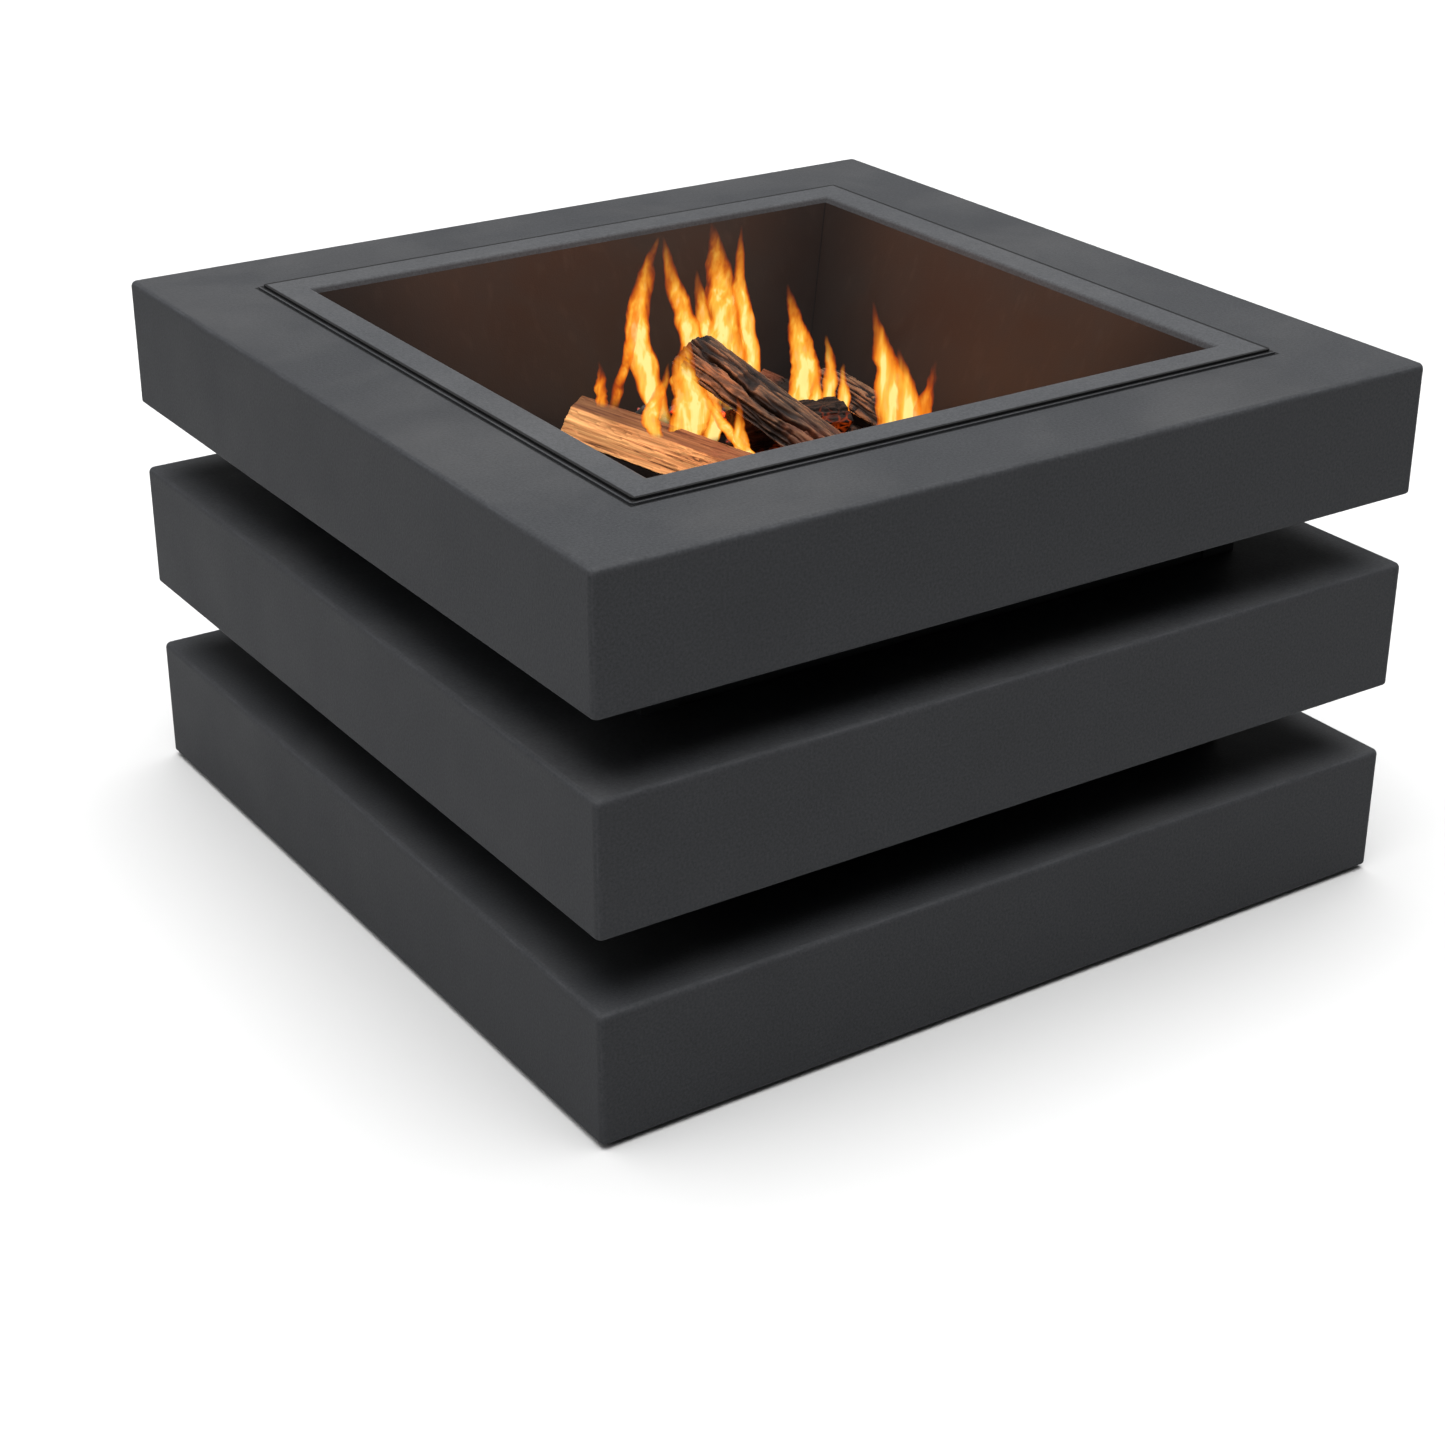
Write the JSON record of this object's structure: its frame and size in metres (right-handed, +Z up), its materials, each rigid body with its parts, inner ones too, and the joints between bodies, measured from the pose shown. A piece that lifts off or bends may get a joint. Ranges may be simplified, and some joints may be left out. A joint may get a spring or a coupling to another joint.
{
  "type": "fire pit with grate",
  "caption": "Square wood-burning fire pit of stacked folded-steel trays with dark set-back gaps, a lift-out tapered fire bowl, a log grate and a stack of split logs.",
  "frame": {"origin": "on the floor, under the middle of the pit", "axes": "+Z up, the lift direction of the bowl and grate; X and Y square to the sides, -Y is the front"},
  "size_m": [0.7, 0.7, 0.4174],
  "materials": {
    "charcoal_powder_coat": "matt fine-textured charcoal powder coat",
    "black_powder_coat": "matt black powder coat",
    "stove_paint": "matt heat-resistant stove paint, browned by heat inside",
    "blackened_steel": "blackened welded steel bar",
    "galvanised_sheet": "dull zinc-coated sheet",
    "zinc_plated_steel": "zinc-plated",
    "foot_rubber": "moulded black rubber",
    "split_wood": "rough split firewood, scorched",
    "bark_wood": "dark furrowed bark, charred"
  },
  "bodies": {
    "stand": {"top_tray": "charcoal_powder_coat", "middle_tray": "charcoal_powder_coat", "bottom_tray": "charcoal_powder_coat", "top_closing_frame": "charcoal_powder_coat", "middle_closing_frame": "charcoal_powder_coat", "bottom_closing_frame": "charcoal_powder_coat", "closing_rivets": "zinc_plated_steel", "post_back_right": "black_powder_coat", "post_back_left": "black_powder_coat", "post_front_left": "black_powder_coat", "post_front_right": "black_powder_coat", "infill_right": "black_powder_coat", "infill_back": "black_powder_coat", "infill_left": "black_powder_coat", "infill_front": "black_powder_coat", "infill_rivets": "zinc_plated_steel", "heat_shield": "galvanised_sheet", "shield_screws": "zinc_plated_steel", "shield_nuts": "zinc_plated_steel", "middle_tray_bolts": "zinc_plated_steel", "middle_tray_nuts": "zinc_plated_steel", "bottom_tray_bolts": "zinc_plated_steel", "bottom_tray_nuts": "zinc_plated_steel", "seat_frame": "charcoal_powder_coat", "top_screws": "zinc_plated_steel", "top_nuts": "zinc_plated_steel", "foot_back_right": "foot_rubber", "foot_back_left": "foot_rubber", "foot_front_left": "foot_rubber", "foot_front_right": "foot_rubber", "foot_screws": "zinc_plated_steel", "foot_nuts": "zinc_plated_steel"},
    "bowl": {"bowl_flange": "charcoal_powder_coat", "bowl_wall_right": "stove_paint", "bowl_wall_back": "stove_paint", "bowl_wall_left": "stove_paint", "bowl_wall_front": "stove_paint", "bowl_floor": "stove_paint"},
    "grate": {"grate_frame": "blackened_steel", "grate_bars": "blackened_steel", "grate_legs": "blackened_steel"},
    "bed_logs": {"log_left": "split_wood", "log_back": "bark_wood", "log_right": "bark_wood", "log_small": "split_wood"},
    "leaning_log": {"log_leaning": "bark_wood"}
  },
  "joints": [
    {"name": "bowl_lift", "type": "slide", "parent": "stand", "child": "bowl", "axis": [0, 0, 1], "range_m": [0, 0.2]},
    {"name": "grate_lift", "type": "slide", "parent": "bowl", "child": "grate", "axis": [0, 0, 1], "range_m": [0, 0.19]},
    {"name": "bed_logs_lift", "type": "slide", "parent": "grate", "child": "bed_logs", "axis": [0, 0, 1], "range_m": [0, 0.15]},
    {"name": "leaning_log_lift", "type": "slide", "parent": "bed_logs", "child": "leaning_log", "axis": [0, 0, 1], "range_m": [0, 0.12]}
  ]
}
